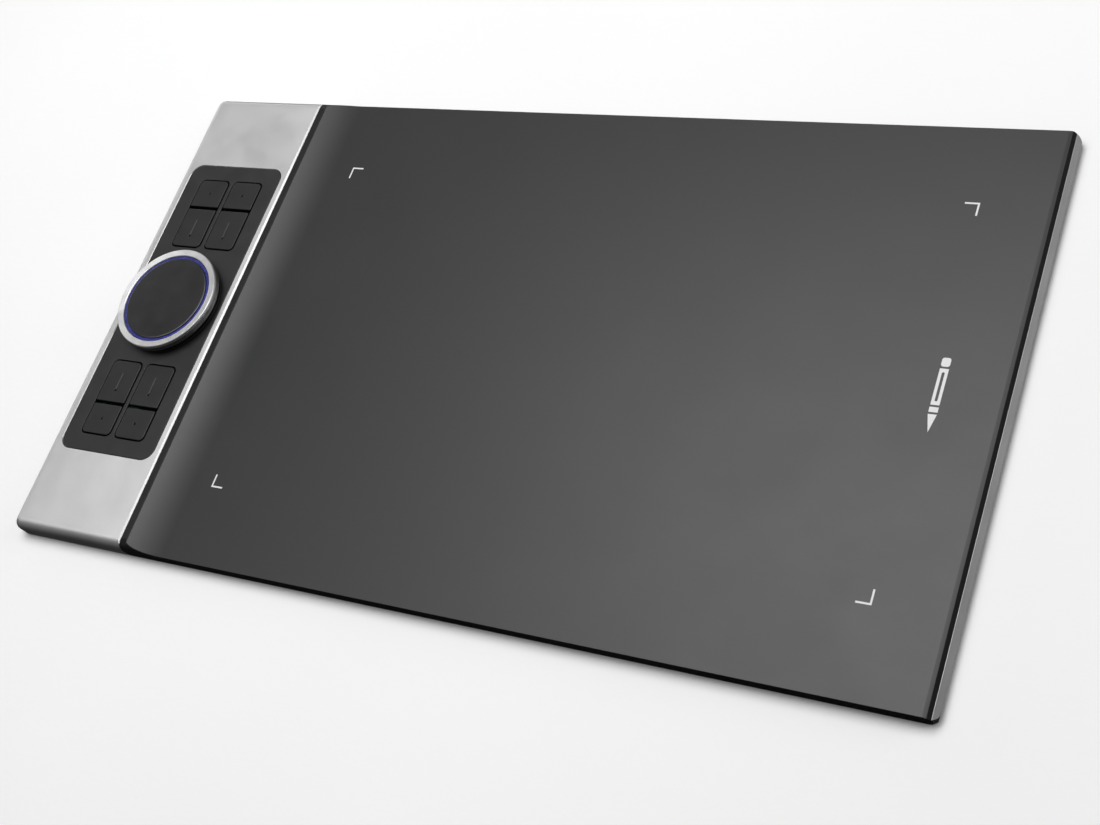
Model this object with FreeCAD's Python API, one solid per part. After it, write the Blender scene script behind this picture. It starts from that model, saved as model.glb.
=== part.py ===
import FreeCAD, Part
import math
import os

# Pen drawing tablet with a control strip: eight press keys and one free-turning dial.
# Millimetres. Origin: centre of the footprint on the desk. +X towards the drawing
# panel's right edge, +Y to the back, +Z up.

V = FreeCAD.Vector
UP = V(0, 0, 1)

# ---- driving dimensions -------------------------------------------------------------
active_width = 279.4
active_depth = 157.1
half_width = 200.4
half_depth = 111.7
foot_height = 1.0
panel_height = 5.6
strip_height = 8.35
edge_roll = 4.0
right_corner_radius = 3.5
strip_width = 61.0

# ---- levels above the desk ----------------------------------------------------------
underside = foot_height
panel_top = underside + panel_height
strip_top = underside + strip_height
shell_thickness = 1.0
shell_floor = underside + shell_thickness

# ---- working panel ------------------------------------------------------------------
film_thickness = 0.3
plate_thickness = 1.2
plate_bottom = panel_top - film_thickness - plate_thickness
tape_thickness = 0.1
seam = 0.35
strip_left = -half_width
strip_right = strip_left + strip_width
rail_left = strip_right + seam
lip_width = 3.3
film_left = rail_left + lip_width
ramp_radius = 65.0
ramp_start = -117.5
lip_top = strip_top - 0.15
active_left = -108.5
mark_leg = 5.6
mark_stroke = 0.7
mark_depth = 0.1
pen_x = 174.0
pen_half_width = 1.6
pen_half_length = 14.5
pen_cap_start = 11.0
pen_cap_corner = 0.9
pen_collar_end = -4.8
pen_nib_start = -7.6
pen_gap = 0.8
pen_slot_half = 0.5
pen_slot_end = 1.4
panel_right = 197.2
frame_right = 198.4
bevel_width = 1.5
bevel_drop = 0.25
flange_top = panel_top - 1.6
flange_slope = 1.85
flange_tuck = 0.7
frame_border = 3.5
boss_radius = 2.6
screw_hole_radius = 1.0
screw_hole_top = 4.9
rib_half = 0.8
rib_top = 3.5
ribbon_slot_bottom = 3.55

# ---- control strip ------------------------------------------------------------------
cover_thickness = 1.0
cover_side_bottom = 5.2
wall = 1.2
opening_gap = 0.05
control_x = -168.75
bezel_half_width = 25.95
bezel_half_length = 73.2
bezel_corner = 5.7
bezel_thickness = 1.2
bezel_bottom = strip_top - bezel_thickness
bezel_flange = 1.0
cut_chamfer = 0.35
side_chamfer = 0.8

key_pitch = 18.9
key_slot_width = 17.0
key_slot_start = 29.3
key_slot_end = 65.7
key_slot_corner = 2.7
key_split = 50.35
key_split_gap = 1.5
key_clearance = 0.6
key_proud = 0.25
key_flange = 0.9
key_inner_corner = 0.5
key_bottom = 6.9
key_edge = 0.3
ridge_half_width = 0.3
ridge_half_length = 4.0
ridge_height = 0.15
dimple_radius = 0.75
dimple_depth = 0.25

# ---- dial ---------------------------------------------------------------------------
knob_radius = 24.9
knob_bottom = 12.0
knob_top = 14.6
knob_web_top = 12.75
knob_well_radius = 21.9
trim_top = 15.7
trim_outer = 24.75
trim_inner = 21.6
trim_dish = 0.25
trim_edge = 0.3
disc_radius = 20.1
disc_top = 15.5
disc_bottom = 14.4
disc_dish = 0.6
glow_drop = 0.45
skirt_radius = 22.7
skirt_bottom = 9.9
skirt_wall = 1.2
base_ring_bore = 22.95
base_ring_radius = 23.9
base_ring_height = 0.5
sleeve_outer = 19.6
sleeve_inner = 18.05
sleeve_bottom = 5.8
clip_groove_radius = 19.0
clip_groove_bottom = 6.9
clip_groove_top = 7.4
pillar_radius = 18.0
pillar_bore = 16.2
pillar_top = 13.0
pillar_flange_top = 4.6
top_plate_top = pillar_top + 0.55
touch_board_top = 14.0
plate_radius = 21.5
wheel_radius = 22.6
wheel_bottom = 5.3
wheel_notches = 30
grip_grooves = 120
groove_radius = 0.28
led_count = 8

# ---- boards -------------------------------------------------------------------------
board_bottom = 3.0
board_top = 4.0
board_left = -195.5
board_right = -144.0
board_half_depth = 104.0
digitizer_left = -131.0
digitizer_right = 192.0
digitizer_half_depth = 103.0
socket_y = 88.0
socket_z = 3.7
socket_width = 8.94
socket_height = 3.26
socket_wall = 0.3
socket_depth = 7.4
socket_inset = 0.3
socket_back = 1.2
socket_gap = 0.28
tongue_half_width = 3.35
tongue_half_height = 0.35


# ---- helpers ------------------------------------------------------------------------
def block(x0, x1, y0, y1, z0, z1):
    return Part.makeBox(x1 - x0, y1 - y0, z1 - z0, V(x0, y0, z0))


def post(x, y, radius, z0, z1):
    return Part.makeCylinder(radius, z1 - z0, V(x, y, z0), UP)


def tube(x, y, inner, outer, z0, z1):
    return post(x, y, outer, z0, z1).cut(post(x, y, inner, z0 - 1, z1 + 1))


def edges_near(shape, test):
    return [edge for edge in shape.Edges if test(edge.CenterOfMass, edge)]


def upright(edge):
    low, high = edge.BoundBox.ZMin, edge.BoundBox.ZMax
    return edge.BoundBox.XLength < 1e-6 and edge.BoundBox.YLength < 1e-6 and high - low > 1e-6


def rounded_block(x0, x1, y0, y1, z0, z1, radius):
    body = block(x0, x1, y0, y1, z0, z1)
    return body.makeFillet(radius, [edge for edge in body.Edges if upright(edge)])


def slab_from_profile(points, y0, y1):
    """Closed XZ outline of straight runs, drawn at y0 and pushed to y1."""
    corners = [V(x, y0, z) for x, z in points]
    outline = Part.makePolygon(corners + corners[:1])
    return Part.Face(outline).extrude(V(0, y1 - y0, 0))


def turned(profile):
    """Closed (radius, height) outline turned round the dial's axis."""
    corners = [V(control_x + r, 0, z) for r, z in profile]
    outline = Part.makePolygon(corners + corners[:1])
    return Part.Face(outline).revolve(V(control_x, 0, 0), UP, 360)


def fused(first, *others):
    body = first
    for other in others:
        body = body.fuse(other)
    return body.removeSplitter()


def group(solids):
    return Part.makeCompound(list(solids))


# ---- outer envelope -----------------------------------------------------------------
def rolled_envelope(x0, x1, margin):
    """Full-depth bar whose two long top edges are rolled over, as on the strip."""
    bar = block(x0, x1, -half_depth + margin, half_depth - margin, 0, strip_top - margin)
    rolls = edges_near(bar, lambda c, e: abs(e.BoundBox.XLength - (x1 - x0)) < 1e-6 and c.z > 1)
    return bar.makeFillet(edge_roll - margin, rolls)


def panel_envelope():
    bar = rolled_envelope(rail_left, half_width, 0)
    corner = edges_near(bar, lambda c, e: upright(e) and c.x > half_width - 1)
    return bar.makeFillet(right_corner_radius, corner)


def strip_solid(margin, top_skin, bottom):
    body = block(strip_left + margin, strip_right - margin, -half_depth + margin,
                 half_depth - margin, bottom, strip_top - top_skin)
    left = strip_left + margin
    chosen = []
    for edge in body.Edges:
        c = edge.CenterOfMass
        on_top = abs(c.z - (strip_top - top_skin)) < 1e-6
        on_right = abs(c.x - (strip_right - margin)) < 1e-6
        corner = upright(edge) and abs(c.x - left) < 1e-6
        if corner or (on_top and not on_right):
            chosen.append(edge)
    return body.makeFillet(edge_roll - margin, chosen)


# ---- ramp profile -------------------------------------------------------------------
def ramp_height(x, drop):
    """Height of the concave ramp, or of a face that lies 'drop' below it."""
    radius = ramp_radius + drop
    return panel_top + ramp_radius - math.sqrt(radius ** 2 - (x - ramp_start) ** 2)


def ramp_face(x_low, drop_top, drop_bottom, right_points):
    """XZ face under the ramp between two parallel arcs, closed by right_points."""
    y = -half_depth - 1
    x_mid = (x_low + ramp_start) / 2

    def arc(drop):
        a = V(x_low, y, ramp_height(x_low, drop))
        m = V(x_mid, y, ramp_height(x_mid, drop))
        b = V(ramp_start, y, panel_top - drop)
        return a, m, b

    top_a, top_m, top_b = arc(drop_top)
    low_a, low_m, low_b = arc(drop_bottom)
    right = [V(x, y, z) for x, z in right_points]
    edges = [Part.Arc(top_a, top_m, top_b).toShape()]
    chain = [top_b] + right + [low_b]
    for p, q in zip(chain, chain[1:]):
        if p.distanceToPoint(q) > 1e-7:
            edges.append(Part.LineSegment(p, q).toShape())
    edges.append(Part.Arc(low_b, low_m, low_a).toShape())
    edges.append(Part.LineSegment(low_a, top_a).toShape())
    return Part.Face(Part.Wire(edges)).extrude(V(0, 2 * half_depth + 2, 0))


# ---- printed marks ------------------------------------------------------------------
def corner_marks(z0, z1):
    marks = []
    for side_x in (-1, 1):
        for side_y in (-1, 1):
            x = active_left + (active_width if side_x > 0 else 0)
            y = side_y * active_depth / 2
            near_x, far_x = sorted((x, x - side_x * mark_leg))
            near_y, far_y = sorted((y, y - side_y * mark_leg))
            thin_x = sorted((x, x - side_x * mark_stroke))
            thin_y = sorted((y, y - side_y * mark_stroke))
            along_x = block(near_x, far_x, thin_y[0], thin_y[1], z0, z1)
            along_y = block(thin_x[0], thin_x[1], near_y, far_y, z0, z1)
            marks.append(fused(along_x, along_y))
    return marks


def pen_marks(z0, z1):
    """Pen pictogram lying along Y near the right edge: cap, barrel, collar and nib."""
    left, right = pen_x - pen_half_width, pen_x + pen_half_width
    cap = rounded_block(left, right, pen_cap_start, pen_half_length, z0, z1, pen_cap_corner)
    barrel = block(left, right, pen_collar_end + pen_gap, pen_cap_start - pen_gap, z0, z1)
    slot = rounded_block(pen_x - pen_slot_half, pen_x + pen_slot_half,
                         pen_collar_end + pen_gap + pen_slot_end, pen_cap_start - pen_gap - pen_slot_end,
                         z0 - 1, z1 + 1, pen_slot_half - 0.01)
    collar = block(left, right, pen_nib_start + pen_gap, pen_collar_end, z0, z1)
    tip = [V(left, pen_nib_start, z0), V(right, pen_nib_start, z0), V(pen_x, -pen_half_length, z0)]
    nib = Part.Face(Part.makePolygon(tip + tip[:1])).extrude(V(0, 0, z1 - z0))
    return [cap, barrel.cut(slot), collar, nib]


# ---- positions shared by several pieces ---------------------------------------------
def around_dial(radius, degrees):
    angle = math.radians(degrees)
    return control_x + radius * math.cos(angle), radius * math.sin(angle)


frame_screw_spots = [(x, y) for x in (-125.0, 30.0, 185.0) for y in (-106.0, 106.0)]
strip_screw_spots = [(x, y) for x in (-189.0, -150.0) for y in (-106.6, 106.6)]
board_screw_rows = (-78.0, 70.0)
board_screw_spots = [(x, y) for x in (-191.0, -148.0) for y in board_screw_rows]
pillar_screw_radius = 19.8
pillar_screw_spots = [around_dial(pillar_screw_radius, degrees) for degrees in (30, 150, 270)]
foot_spots = [(x, y) for x in (-172.0, 0.0, 172.0) for y in (-96.0, 96.0)]
foot_half_length = 14.0
foot_half_width = 4.5
foot_recess = 0.25
ribbon_thickness = 0.14
ribbon_y = -60.0
ribbon_half = 10.0
ribbon_room = ribbon_half + 1.0


# ---- housing ------------------------------------------------------------------------
def make_strip_cover():
    body = strip_solid(0, 0, underside)
    body = body.cut(strip_solid(wall, cover_thickness, underside - 1))
    panel_side = block(strip_right - wall - 0.01, strip_right + 1, -half_depth + wall, half_depth - wall,
                       0, cover_side_bottom)
    body = body.cut(panel_side)
    reach_x = bezel_half_width + opening_gap
    reach_y = bezel_half_length + opening_gap
    opening = rounded_block(control_x - reach_x, control_x + reach_x, -reach_y, reach_y,
                            cover_side_bottom, strip_top + 1, bezel_corner)
    body = body.cut(opening)

    def on_rim(c, edge):
        level = abs(edge.BoundBox.ZMin - strip_top) < 1e-6 and abs(edge.BoundBox.ZMax - strip_top) < 1e-6
        return level and abs(c.x - control_x) < reach_x + 0.2 and abs(c.y) < reach_y + 0.2

    body = body.makeChamfer(cut_chamfer, edges_near(body, on_rim))
    x, z, c = strip_right, strip_top, side_chamfer
    corner = [(x - c, z + 0.01), (x + 1, z + 0.01), (x + 1, z - c - 1), (x + 0.01, z - c)]
    body = body.cut(slab_from_profile(corner, -half_depth - 1, half_depth + 1))
    return body.cut(socket_outline(socket_gap, strip_left - 1, strip_left + 3))


def make_back_shell():
    """Flat metal back. Its right edge stands up, slopes out at 45 degrees and tucks in below."""
    floor = block(-half_width + wall + 0.1, frame_right, -half_depth + 1.6, half_depth - 1.6,
                  underside, shell_floor)
    floor = floor.makeFillet(edge_roll - wall, edges_near(floor, lambda c, e: upright(e) and c.x < 0))
    inner = frame_right + 0.05
    section = [(inner - 6, underside), (half_width - flange_tuck, underside),
               (half_width, flange_top - flange_slope), (half_width - flange_slope, flange_top),
               (inner, flange_top), (inner, shell_floor), (inner - 6, shell_floor)]
    flange = slab_from_profile(section, -half_depth, half_depth).common(panel_envelope())
    body = fused(floor, flange)
    for side in (-1, 1):
        y0, y1 = sorted((side * (half_depth + 1), side * (half_depth - 1.55)))
        body = body.cut(block(inner - 7, inner, y0, y1, 0, panel_top))
    for x, y in frame_screw_spots + strip_screw_spots:
        body = body.cut(Part.makeCone(2.05, 1.05, shell_thickness, V(x, y, underside), UP))
    for x, y in foot_spots:
        body = body.cut(foot(x, y, 0.05, underside - 1, underside + foot_recess))
    return body


def foot(x, y, grow, z0, z1):
    reach_x, reach_y = foot_half_length + grow, foot_half_width + grow
    return rounded_block(x - reach_x, x + reach_x, y - reach_y, y + reach_y, z0, z1, foot_half_width - 0.1)


def make_feet():
    return group(foot(x, y, 0, 0, underside + foot_recess) for x, y in foot_spots)


def screw(x, y, head_z, tip_z, head_radius, head_height, shank_radius, countersunk):
    """A screw whose head sits at head_z and whose shank runs to tip_z."""
    way = 1 if tip_z > head_z else -1
    direction = V(0, 0, way)
    if countersunk:
        head = Part.makeCone(head_radius, shank_radius, head_height, V(x, y, head_z), direction)
        recess_z = head_z
    else:
        head = Part.makeCylinder(head_radius, head_height, V(x, y, head_z - way * head_height), direction)
        recess_z = head_z - way * head_height
    shank = Part.makeCylinder(shank_radius, abs(tip_z - head_z), V(x, y, head_z), direction)
    body = fused(head, shank)
    reach = head_radius * 0.55
    for turn in (0, 90):
        bar = block(x - 0.2, x + 0.2, y - reach, y + reach, recess_z - 0.35, recess_z + 0.35)
        bar.rotate(V(x, y, 0), UP, turn)
        body = body.cut(bar)
    return body


def make_shell_screws():
    spots = frame_screw_spots + strip_screw_spots
    return group(screw(x, y, underside, 4.7, 2.0, shell_thickness, 0.98, True) for x, y in spots)


def make_mid_frame():
    """Border under the panel with screw bosses, and a sloped lip along the right edge."""
    top = plate_bottom - tape_thickness
    body = block(rail_left, frame_right, -half_depth, half_depth, underside, top)
    body = body.cut(block(rail_left + frame_border, frame_right - 4, -half_depth + 4, half_depth - 4,
                          0, panel_top))
    body = body.cut(block(rail_left - 1, frame_right + 1, -half_depth + 1.5, half_depth - 1.5,
                          0, shell_floor))
    lip_left = panel_right + 0.05
    lip_top_z = panel_top - film_thickness
    lip = block(lip_left, frame_right, -half_depth, half_depth, 4, lip_top_z)
    above = [(lip_left, lip_top_z + 0.01), (frame_right + 1, lip_top_z + 0.01),
             (frame_right + 1, flange_top - 0.2), (frame_right, flange_top)]
    lip = lip.cut(slab_from_profile(above, -half_depth - 1, half_depth + 1))
    bosses = [post(x, y, boss_radius, shell_floor, top) for x, y in frame_screw_spots]
    body = fused(body, lip, *bosses)
    for x, y in frame_screw_spots:
        body = body.cut(post(x, y, screw_hole_radius, 0, screw_hole_top))
    notch = block(rail_left - 1, rail_left + 5, ribbon_y - ribbon_room, ribbon_y + ribbon_room,
                  ribbon_slot_bottom, 4.7)
    return body.cut(notch).common(panel_envelope())


def make_support_grid():
    """Low ribs that stand on the back shell and carry the board."""
    x0, x1 = rail_left + frame_border + 0.1, frame_right - 4.1
    y1 = half_depth - 4.1
    ribs = []
    for x in (-70.0, 0.0, 70.0, 140.0):
        ribs.append(block(x - rib_half, x + rib_half, -y1, y1, shell_floor, rib_top))
    for y in (-55.0, 0.0, 55.0):
        ribs.append(block(x0, x1, y - rib_half, y + rib_half, shell_floor, rib_top))
    return fused(*ribs)


def make_panel_tape():
    z0, z1 = plate_bottom - tape_thickness, plate_bottom
    outer = block(rail_left + 0.4, panel_right - 0.4, -half_depth + 0.8, half_depth - 0.8, z0, z1)
    return outer.cut(block(rail_left + 3.1, frame_right - 4, -half_depth + 3.8, half_depth - 3.8, 0, 9))


def make_ramp_rail():
    x_low = rail_left
    body = ramp_face(x_low, film_thickness, ramp_height(x_low, 0) - plate_bottom + 9, [])
    body = body.common(block(x_low, ramp_start, -half_depth - 1, half_depth + 1, plate_bottom, strip_top))
    slope = ramp_face(film_left, -3.0, film_thickness, [])
    lip = block(x_low, film_left - 0.05, -half_depth, half_depth, plate_bottom, lip_top)
    under = block(x_low + 3.0, ramp_start + 1, -half_depth + 6, half_depth - 6, 0, plate_bottom + 1.2)
    return fused(body.cut(slope), lip).cut(under).common(panel_envelope())


def make_panel_plate():
    z1 = panel_top - film_thickness
    body = block(ramp_start + 0.02, panel_right, -half_depth, half_depth, plate_bottom, z1)
    return body.common(panel_envelope())


def make_surface_film():
    right = [(panel_right - bevel_width, panel_top), (panel_right - 0.1, panel_top - bevel_drop),
             (panel_right - 0.1, panel_top - film_thickness)]
    body = ramp_face(film_left, 0, film_thickness, right)
    body = body.common(panel_envelope())
    z0, z1 = panel_top - mark_depth, panel_top + 1
    for mark in corner_marks(z0, z1) + pen_marks(z0, z1):
        body = body.cut(mark)
    return body


def make_digitizer_board():
    return block(digitizer_left, digitizer_right, -digitizer_half_depth, digitizer_half_depth, 4.0, 5.0)


def make_shield_plate():
    x0, x1, y1 = digitizer_left + 0.5, digitizer_right - 0.5, digitizer_half_depth - 0.5
    plate = block(x0, x1, -y1, y1, 3.6, 3.9)
    return plate.cut(block(x0 - 1, x0 + 12.5, ribbon_y - ribbon_room, ribbon_y + ribbon_room, 3, 4.2))


# ---- control strip ------------------------------------------------------------------
def column_slots(grow, z0, z1):
    slots = []
    for column in (-1, 1):
        for side in (-1, 1):
            x = control_x + column * key_pitch / 2
            y0, y1 = sorted((side * key_slot_start, side * key_slot_end))
            slots.append(rounded_block(x - key_slot_width / 2 - grow, x + key_slot_width / 2 + grow,
                                       y0 - grow, y1 + grow, z0, z1, key_slot_corner + grow))
    return slots


def make_bezel():
    x0, x1 = control_x - bezel_half_width, control_x + bezel_half_width
    y1 = bezel_half_length
    plate = rounded_block(x0, x1, -y1, y1, bezel_bottom, strip_top, bezel_corner)
    g = bezel_flange
    flange = rounded_block(x0 - g, x1 + g, -y1 - g, y1 + g,
                           bezel_bottom - 0.6, strip_top - cover_thickness - 0.05, bezel_corner + g)
    flange = flange.cut(rounded_block(x0 + 1, x1 - 1, -y1 + 1, y1 - 1, 0, bezel_bottom, bezel_corner - 1))
    body = fused(plate, flange)
    for slot in column_slots(0, bezel_bottom - 1, strip_top + 1):
        body = body.cut(slot)
    return body.cut(post(control_x, 0, sleeve_outer + 0.4, 0, 20))


def key_span(long_key):
    """Distances of a key cap's near and far ends from the dial's axis."""
    if long_key:
        return key_slot_start + key_clearance, key_split - key_split_gap / 2
    return key_split + key_split_gap / 2, key_slot_end - key_clearance


def make_key(column, side, long_key):
    """Key cap on a retaining flange. Long keys carry a ridge that ends in a dimple, short ones a dimple."""
    x = control_x + column * key_pitch / 2
    near, far = key_span(long_key)
    y0, y1 = sorted((side * near, side * far))
    half = key_slot_width / 2 - key_clearance
    top = strip_top + key_proud
    cap = block(x - half, x + half, y0, y1, key_bottom, top)
    slot_end = side * (near if long_key else far)
    for radius, at_slot_end in ((key_slot_corner - key_clearance, True), (key_inner_corner, False)):
        corners = edges_near(cap, lambda c, e: upright(e) and (abs(c.y - slot_end) < 1e-6) == at_slot_end
                             and abs(abs(c.x - x) - half) < 1e-6)
        cap = cap.makeFillet(radius, corners)
    cap = cap.makeFillet(key_edge, edges_near(cap, lambda c, e: e.BoundBox.ZMin > top - 1e-6))
    split_flange = key_split_gap / 2 - 0.2
    if (side > 0) != long_key:
        low_flange, high_flange = split_flange, key_flange
    else:
        low_flange, high_flange = key_flange, split_flange
    flange = rounded_block(x - half - key_flange, x + half + key_flange, y0 - low_flange, y1 + high_flange,
                           key_bottom, bezel_bottom - 0.06, key_inner_corner)
    body = fused(cap, flange)
    dimple_y = (y0 + y1) / 2
    if long_key:
        ridge = rounded_block(x - ridge_half_width, x + ridge_half_width, dimple_y - ridge_half_length,
                              dimple_y + ridge_half_length, top - 0.1, top + ridge_height,
                              ridge_half_width - 0.01)
        body = fused(body, ridge)
        dimple_y -= ridge_half_length + dimple_radius / 2
    hollow = Part.makeCone(dimple_radius / 2, dimple_radius, dimple_depth + 0.2,
                           V(x, dimple_y, top - dimple_depth), UP)
    return body.cut(hollow)


def make_dome(column, side, long_key):
    x = control_x + column * key_pitch / 2
    near, far = key_span(long_key)
    y = side * (near + far) / 2
    height = key_bottom - 0.02 - board_top
    shell = Part.makeCone(4.4, 2.4, height, V(x, y, board_top), UP)
    hollow = Part.makeCone(4.0, 1.9, height - 0.6, V(x, y, board_top - 0.001), UP)
    pill = post(x, y, 1.2, board_top + 0.8, board_top + height - 0.3)
    return fused(shell.cut(hollow), pill)


def make_strip_carrier():
    """Open tray in the strip that holds the board and takes the screws."""
    x0, x1 = strip_left + 2.4, strip_right - 1.7
    y1 = half_depth - 2.5
    z1 = 7.4
    body = block(x0, x1, -y1, y1, shell_floor, z1)
    body = body.cut(block(x0 + 1.5, x1 - 1.5, -y1 + 1.5, y1 - 1.5, 0, 9))
    rows = board_screw_rows + (-26.0, 26.0)
    bars = [block(x0 + 1, x1 - 1, y - 2, y + 2, shell_floor, board_bottom) for y in rows]
    bosses = [post(x, y, 2.4, shell_floor, z1) for x, y in strip_screw_spots]
    body = fused(body, *bars, *bosses)
    for x, y in strip_screw_spots:
        body = body.cut(post(x, y, screw_hole_radius, 0, screw_hole_top))
    for x, y in board_screw_spots:
        body = body.cut(post(x, y, screw_hole_radius, shell_floor + 0.1, board_bottom + 1))
    body = body.cut(block(x0 - 1, x0 + 2, socket_y - 6, socket_y + 6, 0, 6.2))
    return body.cut(block(x1 - 2, x1 + 1, ribbon_y - ribbon_room, ribbon_y + ribbon_room,
                          ribbon_slot_bottom, 4.9))


def make_main_board():
    body = block(board_left, board_right, -board_half_depth, board_half_depth, board_bottom, board_top)
    body = body.cut(block(board_left - 1, board_left + 3.5, socket_y - 5, socket_y + 5, 0, 9))
    for x, y in board_screw_spots:
        body = body.cut(post(x, y, 1.1, 0, 9))
    for x, y in pillar_screw_spots:
        body = body.cut(post(x, y, 0.8, 0, 9))
    return body


def chip(x, y, width, depth, height):
    return block(x, x + width, y, y + depth, board_top, board_top + height)


def make_board_chips():
    processor = chip(-174.0, 80.0, 9.0, 9.0, 0.95)
    regulator = chip(-158.0, 84.0, 5.0, 4.0, 0.8)
    port_driver = chip(-186.0, 84.0, 5.0, 5.0, 0.8)
    touch_driver = chip(-176.0, -92.0, 8.0, 8.0, 0.9)
    chips = [processor, regulator, port_driver, touch_driver]
    for x, y, count in ((-163.0, 92.0, 6), (-178.0, -97.0, 5)):
        chips += [chip(x + 2.4 * step, y, 1.2, 1.0, 0.5) for step in range(count)]
    return group(chips)


def make_ribbon_connectors():
    main = chip(board_right - 8.5, ribbon_y - 11.5, 3.3, 23.0, 1.2)
    dial = chip(control_x - 5.5, 3.0, 11.0, 3.0, 1.2)
    return group([main, dial])


def make_board_screws():
    tip = shell_floor + 0.2
    return group(screw(x, y, board_top, tip, 1.9, 0.8, 0.95, False) for x, y in board_screw_spots)


def make_sensor_ribbon():
    """Flat cable from under the drawing board to its connector on the main board."""
    low, high = 3.85, 4.05
    under = [(-120.0, low), (-137.0, low), (-141.5, high), (-149.1, high)]
    over = [(x, z + ribbon_thickness) for x, z in reversed(under)]
    return slab_from_profile(under + over, ribbon_y - ribbon_half, ribbon_y + ribbon_half)


# ---- USB-C socket -------------------------------------------------------------------
def socket_outline(grow, x0, x1):
    half_w = socket_width / 2 + grow
    half_h = socket_height / 2 + grow
    body = block(x0, x1, socket_y - half_w, socket_y + half_w, socket_z - half_h, socket_z + half_h)
    along = edges_near(body, lambda c, e: abs(e.BoundBox.XLength - (x1 - x0)) < 1e-6)
    return body.makeFillet(half_h - 0.01, along)


def make_usb_shell():
    x0 = strip_left + socket_inset
    x1 = x0 + socket_depth
    body = socket_outline(0, x0, x1)
    return body.cut(socket_outline(-socket_wall, x0 - 1, x1 - socket_back))


def make_usb_tongue():
    x1 = strip_left + socket_inset + socket_depth - socket_back
    return block(strip_left + 1.0, x1, socket_y - tongue_half_width, socket_y + tongue_half_width,
                 socket_z - tongue_half_height, socket_z + tongue_half_height)


# ---- dial ---------------------------------------------------------------------------
def make_dial_knob():
    """Grip ring on a skirt, with an inner sleeve that turns on the pillar."""
    groove_top = knob_top - 0.3
    web_bottom = knob_web_top - 0.85
    skirt_inner = skirt_radius - skirt_wall
    profile = [(sleeve_inner, sleeve_bottom), (sleeve_outer, sleeve_bottom),
               (sleeve_outer, clip_groove_bottom), (clip_groove_radius, clip_groove_bottom),
               (clip_groove_radius, clip_groove_top), (sleeve_outer, clip_groove_top),
               (sleeve_outer, web_bottom), (skirt_inner, web_bottom), (skirt_inner, skirt_bottom),
               (skirt_radius, skirt_bottom), (skirt_radius, knob_bottom),
               (knob_radius - 0.4, knob_bottom), (knob_radius, knob_bottom + 0.4), (knob_radius, groove_top),
               (knob_radius - 0.35, knob_top), (knob_well_radius, knob_top), (knob_well_radius, knob_web_top),
               (sleeve_inner, knob_web_top)]
    body = turned(profile)
    cuts = []
    for number in range(grip_grooves):
        x, y = around_dial(knob_radius + 0.12, number * 360.0 / grip_grooves)
        cuts.append(post(x, y, groove_radius, knob_bottom + 0.5, groove_top - 0.1))
    return body.cut(group(cuts))


def make_trim_ring():
    """Bright ring on the grip. Its top face falls a little towards the middle."""
    inner_top = trim_top - trim_dish
    return turned([(trim_inner, knob_top), (trim_outer - trim_edge, knob_top),
                   (trim_outer, knob_top + trim_edge), (trim_outer, trim_top - trim_edge),
                   (trim_outer - trim_edge, trim_top), (trim_inner + trim_edge, inner_top),
                   (trim_inner, inner_top - trim_edge)])


def make_code_wheel():
    bore = sleeve_inner + 0.05
    body = turned([(bore, wheel_bottom), (wheel_radius, wheel_bottom), (wheel_radius, sleeve_bottom),
                   (bore, sleeve_bottom)])
    notches = []
    for number in range(wheel_notches):
        x, y = around_dial(wheel_radius + 0.3, number * 360.0 / wheel_notches)
        notches.append(post(x, y, 0.8, wheel_bottom - 0.3, sleeve_bottom + 0.4))
    return body.cut(group(notches))


def make_retaining_clip():
    body = tube(control_x, 0, clip_groove_radius + 0.02, plate_radius,
                clip_groove_bottom + 0.05, clip_groove_top - 0.05)
    return body.cut(block(control_x + 15, control_x + 25, -4, 4, 6, 8))


def make_slip_washer():
    return tube(control_x, 0, sleeve_outer + 0.1, 22.0, clip_groove_top + 0.02, bezel_bottom - 0.02)


def make_dial_pillar():
    body = turned([(pillar_bore, board_top), (plate_radius, board_top),
                   (plate_radius, pillar_flange_top), (pillar_radius, pillar_flange_top),
                   (pillar_radius, pillar_top), (pillar_bore, pillar_top)])
    for x, y in pillar_screw_spots:
        body = body.cut(post(x, y, 0.75, 0, 5))
    return body


def make_pillar_screws():
    return group(screw(x, y, pillar_flange_top, 3.1, 1.3, 0.5, 0.7, False) for x, y in pillar_screw_spots)


def make_dial_top_plate():
    body = post(control_x, 0, plate_radius, pillar_top, top_plate_top)
    return body.cut(block(control_x - 4.6, control_x + 4.6, 4.2, 5.0, 12, 15))


def make_touch_board():
    return post(control_x, 0, disc_radius - 0.3, top_plate_top, touch_board_top)


def make_dial_leds():
    leds = []
    step = 360.0 / led_count
    for number in range(led_count):
        led = block(control_x + 17.6, control_x + 19.2, -0.8, 0.8, touch_board_top, touch_board_top + 0.35)
        led.rotate(V(control_x, 0, 0), UP, step * (number + 0.5))
        leds.append(led)
    return group(leds)


def make_light_ring():
    top = disc_top - glow_drop
    bore = disc_radius + 0.1
    return turned([(bore, top_plate_top), (plate_radius, top_plate_top), (plate_radius, top - 0.1),
                   (plate_radius - 0.2, top), (bore, top)])


def make_touch_disc():
    """Fixed touch surface, dished towards its centre."""
    rim = disc_radius - 0.6
    a = V(control_x, 0, disc_top - disc_dish)
    m = V(control_x + rim / 2, 0, disc_top - disc_dish * 0.75)
    b = V(control_x + rim, 0, disc_top)
    side = [V(control_x + disc_radius, 0, z) for z in (disc_top - 0.25, disc_bottom)]
    chain = [b] + side + [V(control_x, 0, disc_bottom), a]
    edges = [Part.Arc(a, m, b).toShape()]
    edges += [Part.LineSegment(p, q).toShape() for p, q in zip(chain, chain[1:])]
    return Part.Face(Part.Wire(edges)).revolve(V(control_x, 0, 0), UP, 360)


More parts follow.
